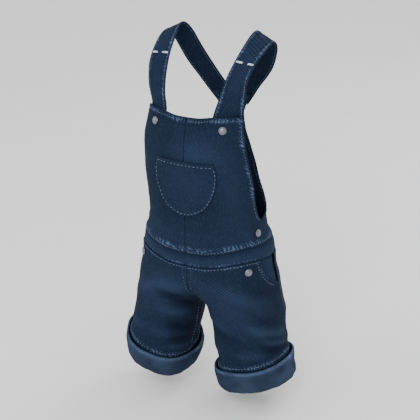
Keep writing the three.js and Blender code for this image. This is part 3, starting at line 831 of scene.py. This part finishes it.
# Straps. Doubled strips sewn behind the bib's top corners, passing over the shoulders and meeting on the
# outside of the back panel's top. Both long edges are topstitched.
# front to back: neck edge x y z, then arm edge x y z
STRAP = [
    [65, -119, -112, 116, -98, -112], [72, -97, -70, 120, -92, -71], [78, -70, -40, 125, -68, -44],
    [83, -38, -13, 130, -30, -24], [87, -6, 6, 132, 0, -14], [88, 14, 7, 132, 20, -17],
    [84, 36, -9, 127, 38, -38], [64, 57, -58, 107, 56, -87], [33, 70, -110, 71, 65, -136],
]
CLEAR = CLOTH / 2 + 0.3 + DOUBLE / 2 + 0.3
BEHIND = -CLEAR - 1.6
# neck edge's angle and height, arm edge's angle and height, distance out from the trunk
STRAP_FRONT = [
    (21.5, -196, 54, -196, BEHIND), (21.5, -172, 55.2, -172, BEHIND), (21.5, -150, 57.2, -150, BEHIND),
]
STRAP_BACK = [(174, -141, 157, -162, CLEAR + 1.6), (179.4, -158, 164.5, -184, CLEAR + 1.5)]
# share of the strap's length, height of the bow across it
STRAP_BOW = np.array([[0, 4.4], [0.155, 4], [0.25, 1.5], [0.79, 1], [0.915, 1.8], [1, 2]])


def laid_row(neck, neck_z, arm, arm_z, out):
    ends = []
    for angle, z in ((neck, neck_z), (arm, arm_z)):
        place, normal = on_surface(trunk_point, np.array([float(angle)]), np.array([float(z)]))
        ends.append((place + normal * out)[0])
    return np.concatenate(ends)


def spline(rows, share):
    """A centripetal curve through the rows, at shares from 0 to 1."""
    rows = np.concatenate([[2 * rows[0] - rows[1]], rows, [2 * rows[-1] - rows[-2]]])
    where = np.clip(share, 0, 1) * (len(rows) - 3)
    i = np.minimum(where.astype(int), len(rows) - 4)
    k = (where - i)[..., None]
    p0, p1, p2, p3 = (rows[i + n] for n in range(4))
    steps = (p1 - p0, p2 - p1, p3 - p2)
    d0, d1, d2 = (np.linalg.norm(step, axis=-1, keepdims=True) ** 0.5 for step in steps)
    m1 = ((p1 - p0) / d0 - (p2 - p0) / (d0 + d1) + (p2 - p1) / d1) * d1
    m2 = ((p2 - p1) / d1 - (p3 - p1) / (d1 + d2) + (p3 - p2) / d2) * d1
    return hermite(k, p1, m1, p2, m2)


STRAP_ROWS = np.array([laid_row(*row) for row in STRAP_FRONT] + STRAP
                      + [laid_row(*row) for row in STRAP_BACK])


def strap_at(u, v):
    """The strap's middle sheet: u runs from the arm edge to the neck edge, v from front to back."""
    def sheet(u, v):
        neck, arm = spline(STRAP_ROWS[:, :3], v), spline(STRAP_ROWS[:, 3:], v)
        return arm + (neck - arm) * u[..., None]
    along = sheet(u, np.minimum(v + 0.01, 1)) - sheet(u, np.maximum(v - 0.01, 0))
    across = sheet(1 + 0 * u, v) - sheet(0 * u, v)
    normal = np.cross(along, across)
    normal /= np.linalg.norm(normal, axis=-1, keepdims=True)
    bow = read(STRAP_BOW, v) * 4 * u * (1 - u)
    return sheet(u, v) + normal * bow[..., None], normal


def strap_relief(base, left, right, top, bottom, u, v):
    near = np.minimum(left, right)
    edge, edge_wear = hem(near, top, width=8.5, height=0.5, rope=0.6, seed=71)
    # the sewn ends lie flat
    uneven = smooth(np.minimum(top, bottom), 30, 90)
    lift = edge * smooth(top, 26, 46) + 0.7 * crumple(base, 60, 72) * uneven
    # painted highlight across the strap's rise in front of the shoulder, and a painted shadow line just
    # inside each hem's edge
    fade = 0.04 + 0.36 * spot(v, 0.42, 0.16)
    return lift, {"wear": edge_wear, "fade": fade, "shade": 0.4 * spot(near, 10.5, 1.8)}


straps = {}
for word, side in SIDES:
    straps[word] = Cloth(f"denim_strap_{word}", strap_at, 20, 150, DOUBLE / 2, DOUBLE, strap_relief, denim,
                         mirror=side < 0)
    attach(straps[word].piece, "root")
    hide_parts(f"strap_{word}")

# Rivets. Pressed steel caps, a shallow dome with a rolled rim, at the bib's top corners, at its sides
# above the waist, and on the hips under the band.
RIVET_D = 18
RIVET_H = 4.6
# distance from the middle as a share of the radius, height as a share of the rivet's height
RIVET_SHAPE = [(0, 0), (0.86, 0), (0.97, 0.05), (1, 0.18), (0.97, 0.34), (0.9, 0.46), (0.82, 0.52),
               (0.7, 0.68), (0.52, 0.85), (0.3, 0.96), (0.12, 1.0)]
# place, surface, angle, height
RIVETS = [
    ("bib", trunk_point, 32.5, -177), ("side", trunk_point, 79.5, -426), ("hip", leg_point, 54.5, -506),
]
RIVET_AROUND = 40
STEEL = (0.13, 0.14, 0.165, 1)
STEEL_PALE = (0.25, 0.265, 0.3, 1)
STEEL_TARNISH = (0.06, 0.065, 0.08, 1)


def steel_material():
    """Satin steel with fine scuffs and a little tarnish in the rim's groove."""
    material, tree, shader = new_material("rivet_steel")
    place = add(tree, "ShaderNodeTexCoord").outputs["Object"]
    scuff = noise(tree, place, 900.0, 4.0)
    groove = add(tree, "ShaderNodeAttribute", attribute_name="groove").outputs["Fac"]
    colour = blend_colour(tree, noise(tree, place, 210.0, 2.0), STEEL, STEEL_PALE)
    colour = blend_colour(tree, groove, colour, STEEL_TARNISH)
    tree.links.new(colour, shader.inputs["Base Color"])
    tree.links.new(ranged(tree, scuff, 0, 1, 0.26, 0.5), shader.inputs["Roughness"])
    set_relief(tree, shader, 0.15, 0.0003, scuff)
    shader.inputs["Metallic"].default_value = 1.0
    return material


def make_rivet(name, point, angle, z, side):
    place, normal = (p[0] for p in on_surface(point, np.array([float(angle)]), np.array([float(z)])))
    place, normal = place * [side, 1, 1], normal * [side, 1, 1]
    across = np.cross(normal, [0, 0, 1.0])
    across /= np.linalg.norm(across)
    up = np.cross(across, normal)
    base = place + normal * (CLOTH / 2 + 0.7)
    turn = np.arange(RIVET_AROUND) * 2 * math.pi / RIVET_AROUND
    ring = np.cos(turn)[:, None] * across + np.sin(turn)[:, None] * up
    points, groove = [], []
    for share, height in RIVET_SHAPE[1:]:
        points.append(base + ring * share * RIVET_D / 2 + normal * height * RIVET_H)
        groove.append(np.full(RIVET_AROUND, 0.8 if 0.8 < share < 0.85 else 0.0))
    points = np.concatenate(points + [base[None], (base + normal * RIVET_H)[None]])
    groove = np.concatenate(groove + [[0, 0]])
    index = np.arange((len(RIVET_SHAPE) - 1) * RIVET_AROUND).reshape(-1, RIVET_AROUND)
    low, high = index[:-1], index[1:]
    walls = np.stack([low, np.roll(low, -1, 1), np.roll(high, -1, 1), high], -1).reshape(-1, 4)
    quads = [walls[:, ::-1]]
    for row, centre, flip in ((index[0], len(points) - 2, True), (index[-1], len(points) - 1, False)):
        a, b, c = row[::2], row[1::2], np.roll(row, -2)[::2]
        fan = np.stack([np.full(len(a), centre), a, b, c], -1)
        quads.append(fan if flip else fan[:, ::-1])
    return mesh_piece(name, points, np.concatenate(quads), None, {"groove": groove}, steel)


steel = steel_material()
for stem, point, angle, z in RIVETS:
    for word, side in SIDES:
        rivet = make_rivet(f"steel_{stem}_rivet_{word}", point, angle, z, side)
        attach(rivet, "root")
        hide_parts(f"{stem}_rivet_{word}")

# Topstitching. Pale grey-blue thread in short sunk stitches along every hem and seam that shows, and a
# darker blue thread down the front's middle seam.
THREAD = (0.135, 0.18, 0.25, 1)
THREAD_DIRTY = (0.05, 0.07, 0.105, 1)
THREAD_BLUE = (0.07, 0.12, 0.22, 1)
THREAD_BLUE_DIRTY = (0.015, 0.03, 0.065, 1)
# how much of each stitch's length shows, and the thread's radius
STITCH_SHARE = 0.55
STITCH_RADIUS = 0.6
# how far over the strap's middle sheet a stitch line is laid before it snaps to the cloth
OVER_STRAP = 2
# length from stitch to stitch on the bib, on the shorts and on the straps, and the finer threads' radii
BIB_PITCH = 6.2
SHORTS_PITCH = 7.4
STRAP_PITCH = 5.6
BIB_RADIUS = 0.48
STRAP_RADIUS = 0.46


def thread_material(name, colour, dark):
    """Twisted thread: fine slanting plies, and stitches that differ in how dirty they are."""
    material, tree, shader = new_material(name)
    place = add(tree, "ShaderNodeTexCoord").outputs["Object"]
    tone = noise(tree, place, 110.0, 2.0)
    clean = ranged(tree, tone, 0.35, 0.65, 0, 1)
    tree.links.new(blend_colour(tree, clean, dark, colour), shader.inputs["Base Color"])
    ply = add(tree, "ShaderNodeTexWave", {"Vector": place, "Scale": 260.0, "Distortion": 1.0},
              bands_direction="DIAGONAL").outputs["Fac"]
    set_relief(tree, shader, 0.5, 0.0004, ply)
    tree.links.new(ranged(tree, tone, 0, 1, 0.6, 0.85), shader.inputs["Roughness"])
    return material


def capsules(starts, ends, normals, radius):
    """Low rounded stitches between pairs of places, as one mesh: points and quads."""
    rings = [(0.0, 0.35), (0.12, 0.85), (0.5, 1.0), (0.88, 0.85), (1.0, 0.35)]
    around = 8
    along = ends - starts
    across = np.cross(normals, along)
    across /= np.linalg.norm(across, axis=1, keepdims=True)
    points = []
    for share, swell in rings:
        for k in range(around):
            t = 2 * math.pi * k / around
            lift = 0.55 + 0.5 * math.sin(math.pi * share)
            points.append(starts + along * share + normals * radius * (swell * math.sin(t) + lift - 0.4)
                          + across * radius * swell * math.cos(t) * 1.15)
    points = np.stack(points, 1)
    count = len(rings) * around
    body = [[r * around + k, r * around + (k + 1) % around, (r + 1) * around + (k + 1) % around,
             (r + 1) * around + k] for r in range(len(rings) - 1) for k in range(around)]
    last = (len(rings) - 1) * around
    near_end = [[0, k + 2, k + 1, k] for k in range(1, around - 2, 2)]
    far_end = [[last + corner for corner in quad[::-1]] for quad in near_end]
    quads = np.array(body + near_end + far_end)[:, ::-1]
    faces = (quads[None] + np.arange(len(starts))[:, None, None] * count).reshape(-1, 4)
    return points.reshape(-1, 3), faces


def stitch_line(points, pitch):
    """Where each stitch on a line starts and ends."""
    s = np.concatenate([[0], np.cumsum(np.linalg.norm(np.diff(points, axis=0), axis=1))])
    first = np.arange(pitch * 0.3, s[-1] - pitch * STITCH_SHARE, pitch)
    ends = [np.stack([np.interp(where, s, points[:, c]) for c in range(3)], -1)
            for where in (first, first + pitch * STITCH_SHARE)]
    return ends[0], ends[1]


def sew(name, cloth, lines, pitch, material=None, radius=STITCH_RADIUS, face="outer"):
    """Stitches along several lines on one face of a piece of cloth, as one object of thread."""
    starts, ends = zip(*(stitch_line(line, pitch) for line in lines))
    starts, ends = np.concatenate(starts), np.concatenate(ends)
    starts, n0 = cloth.snap(starts, face)
    ends, n1 = cloth.snap(ends, face)
    normals = n0 + n1
    normals /= np.linalg.norm(normals, axis=1, keepdims=True)
    piece = mesh_piece(name, *capsules(starts, ends, normals, radius), material=material or thread)
    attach(piece, "root")
    return piece


def line_on(point, angle, z, side=1, out=CLOTH):
    place, normal = on_surface(point, angle, z)
    return (place + normal * out) * [side, 1, 1]


def strap_line(u, v, side):
    place, normal = strap_at(u, v)
    return (place + normal * OVER_STRAP) * [side, 1, 1]


thread = thread_material("thread_pale", THREAD, THREAD_DIRTY)
blue_thread = thread_material("thread_blue", THREAD_BLUE, THREAD_BLUE_DIRTY)
share = np.linspace(0, 1, 160)
for word, side in SIDES:
    own_bib, own_front = bib[word], shorts["front", word]
    z = -162 + (ARMHOLE_Z + 166) * share
    side_line = line_on(trunk_point, read(BIB_EDGE, z) - 3.6, z, side)
    angle = 2 + 50.5 * share
    neck_line = line_on(trunk_point, angle, read(NECKLINE, angle) - 8, side)
    angle = 1 + 105 * share
    hem_line = line_on(trunk_point, angle, read(HEM_TOP, angle) + 5.5, side)
    sew(f"thread_bib_{word}", own_bib, [side_line, neck_line], BIB_PITCH, radius=BIB_RADIUS)
    sew(f"thread_bib_hem_{word}", own_bib, [hem_line], 7.6, radius=0.55)
    sew(f"thread_bib_inside_{word}", own_bib, [side_line, neck_line], BIB_PITCH, radius=BIB_RADIUS,
        face="inner")
    angle = 1 + 66 * share
    waist_line = line_on(leg_point, angle, read(HEM_LOW, angle) - 4.5, side)
    z = -487 - 66 * share
    scoop_line = line_on(leg_point, read(SCOOP, z) - 4.5 - 2 * share, z - 4 * share, side)
    z = -505 - 100 * share
    rise_line = line_on(leg_point, middle_angle(z, True) + 2.5, z, side)
    z = FORK_Z - 4 + (leg_hem(word, np.array(-90.0)) + LEG_IN_CUFF - FORK_Z + 10) * share
    inseam_line = line_on(leg_point, -85 + 0 * z, z, side)
    angle = -88 + (SIDE_AT_HEM + 86) * share
    cuff_line = line_on(leg_point, angle, leg_hem(word, angle) + LEG_IN_CUFF + 7, side)
    front_lines = [waist_line, scoop_line, inseam_line, cuff_line]
    sew(f"thread_shorts_front_{word}", own_front, front_lines, SHORTS_PITCH)
    sew(f"thread_rise_{word}", own_front, [rise_line], SHORTS_PITCH, blue_thread, 0.45)
    own_back = shorts["back", word]
    angle = 98 + 80 * share
    back_waist = line_on(leg_point, angle, read(HEM_LOW, angle) - 4.5, side)
    angle = SIDE_AT_HEM + 2 + (266 - SIDE_AT_HEM) * share
    back_cuff = line_on(leg_point, angle, leg_hem(word, angle) + LEG_IN_CUFF + 7, side)
    z = -505 - 100 * share
    seat_line = line_on(leg_point, 180 - middle_angle(z, False) - 3, z, side)
    z = -500 + (leg_hem(word, np.array(110.0)) + LEG_IN_CUFF + 510) * share
    back_side = line_on(leg_point, read(LEG_SIDE, z) + 3, z, side)
    sew(f"thread_shorts_back_{word}", own_back, [back_waist, back_cuff, seat_line, back_side], SHORTS_PITCH)
    lines = [strap_line(u + 0 * share, 0.03 + 0.955 * share, side) for u in (0.085, 0.915)]
    lines += [strap_line(0.1 + 0.8 * share, v + 0 * share, side) for v in (0.955, 0.985)]
    sew(f"thread_strap_{word}", straps[word], lines, STRAP_PITCH, radius=STRAP_RADIUS)
    sew(f"thread_strap_inside_{word}", straps[word], lines[:2], STRAP_PITCH, radius=STRAP_RADIUS,
        face="inner")

angle_share = 2 * share - 1
z = -162 - 236 * share
back_side_lines = [line_on(trunk_point, read(BACK_EDGE, z) + 3.2, z),
                   line_on(trunk_point, 360 - read(BACK_EDGE, z) - 3.2, z)]
back_waist_line = line_on(trunk_point, 180 + 71 * angle_share,
                          read(HEM_TOP, 180 - 71 * np.abs(angle_share)) + 5.5)
sew("thread_back", back, back_side_lines + [back_waist_line], SHORTS_PITCH)
inside_lines = [line_on(trunk_point, read(BACK_EDGE, z) + 3.6, z),
                line_on(trunk_point, 360 - read(BACK_EDGE, z) - 3.6, z)]
sew("thread_back_inside", back, inside_lines, BIB_PITCH, face="inner")

CHEST_MM_PER_DEGREE = 2.55


def pocket_line(inset):
    """The pocket's outline moved inward by an inset, from one top corner round to the other."""
    z = POCKET[0, 0] - 2 + (POCKET[-1, 0] - POCKET[0, 0] + 2) * np.linspace(0, 1, 90) ** 0.8
    x = read(POCKET, z) * CHEST_MM_PER_DEGREE
    shape = np.stack([np.concatenate([-x, x[::-1]]), np.concatenate([z, z[::-1]])], -1)
    run = np.gradient(shape, axis=0)
    run /= np.linalg.norm(run, axis=1, keepdims=True)
    shape = shape + np.stack([-run[:, 1], run[:, 0]], -1) * inset
    return line_on(trunk_point, shape[:, 0] / CHEST_MM_PER_DEGREE, shape[:, 1], out=4)


mouth_angle = (read(POCKET, -258) - 1.5) * angle_share
mouth_line = line_on(trunk_point, mouth_angle, -258 + 0 * share, out=4)
sew("thread_pocket", pocket, [pocket_line(4.2), mouth_line], 9)

# Bar tacks. Heavy white thread, sewn close by machine as two short thick tacks across each strap in front
# of the shoulder, to fix the strap's fold.
TACK = (0.72, 0.75, 0.8, 1)
TACK_DIRTY = (0.45, 0.48, 0.54, 1)
# where the tacks lie on the strap's length, and the step between their two rows of thread
TACK_SHARE = 0.379
TACK_STEP = 0.0024
white_thread = thread_material("thread_white", TACK, TACK_DIRTY)
for word, side in SIDES:
    starts, ends = [], []
    for u0, u1 in ((0.06, 0.35), (0.58, 0.91)):
        for shift in (-0.9, 0.9):
            for u, store in ((u0, starts), (u1, ends)):
                v = TACK_SHARE + shift * TACK_STEP
                store.append(strap_line(np.array([u]), np.array([v]), side)[0])
    starts, n0 = straps[word].snap(starts)
    ends, n1 = straps[word].snap(ends)
    tack = mesh_piece(f"thread_tack_{word}", *capsules(starts, ends, (n0 + n1) / 2, 1.05),
                      material=white_thread)
    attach(tack, "root")

# Stage. A plain pale floor just below the cuffs, soft daylight from all round, a broad key light from
# above the camera and a weak fill, and the photograph's long-lens camera above chest height.
FLOOR_Z = -0.86
FLOOR_SIZE = 12.0
CAMERA_AZIMUTH = math.radians(27.35)
CAMERA_ELEVATION = math.radians(21.76)
CAMERA_DISTANCE = 2.947
CAMERA_AIM = Vector((0, -0.035, -0.4066))
CAMERA_SENSOR = 36
CAMERA_LENS = 1300 / 420 * CAMERA_SENSOR
FLOOR_GREY = (0.86, 0.86, 0.865, 1)
FLOOR_PALE = (0.9, 0.9, 0.9, 1)


def floor_material():
    material, tree, shader = new_material("pale_floor")
    grain = noise(tree, add(tree, "ShaderNodeTexCoord").outputs["Object"], 6.0, 3.0)
    tree.links.new(blend_colour(tree, grain, FLOOR_GREY, FLOOR_PALE), shader.inputs["Base Color"])
    shader.inputs["Roughness"].default_value = 0.9
    return material


corner = FLOOR_SIZE / 2 / MM
floor = mesh_piece("floor", [(-corner, -corner, FLOOR_Z / MM), (corner, -corner, FLOOR_Z / MM),
                             (corner, corner, FLOOR_Z / MM), (-corner, corner, FLOOR_Z / MM)],
                   [[0, 1, 2, 3]], material=floor_material())

world = bpy.data.worlds.new("daylight")
world.use_nodes = True
world.node_tree.nodes["Background"].inputs["Color"].default_value = (1, 1, 1, 1)
world.node_tree.nodes["Background"].inputs["Strength"].default_value = 1.15
bpy.context.scene.world = world


def area_light(name, place, aim, size, power):
    light = bpy.data.lights.new(name, "AREA")
    light.shape = "DISK"
    light.size = size
    light.energy = power
    lamp = bpy.data.objects.new(name, light)
    lamp.location = place
    lamp.rotation_euler = (Vector(aim) - Vector(place)).to_track_quat("-Z", "Y").to_euler()
    bpy.context.collection.objects.link(lamp)


area_light("key", (0.75, -2.9, 1.5), (0, 0, -0.5), 1.6, 58)
area_light("fill", (-2.4, -1.6, 0.8), (0, 0, -0.45), 2.0, 16)
area_light("rim", (0.8, 2.4, 1.8), (0, 0, -0.4), 1.6, 36)

lens = bpy.data.cameras.new("camera")
lens.lens = CAMERA_LENS
lens.sensor_width = CAMERA_SENSOR
camera = bpy.data.objects.new("camera", lens)
away = Vector((math.sin(CAMERA_AZIMUTH) * math.cos(CAMERA_ELEVATION),
               -math.cos(CAMERA_AZIMUTH) * math.cos(CAMERA_ELEVATION), math.sin(CAMERA_ELEVATION)))
camera.location = CAMERA_AIM + away * CAMERA_DISTANCE
camera.rotation_euler = (-away).to_track_quat("-Z", "Y").to_euler()
bpy.context.collection.objects.link(camera)
bpy.context.scene.camera = camera
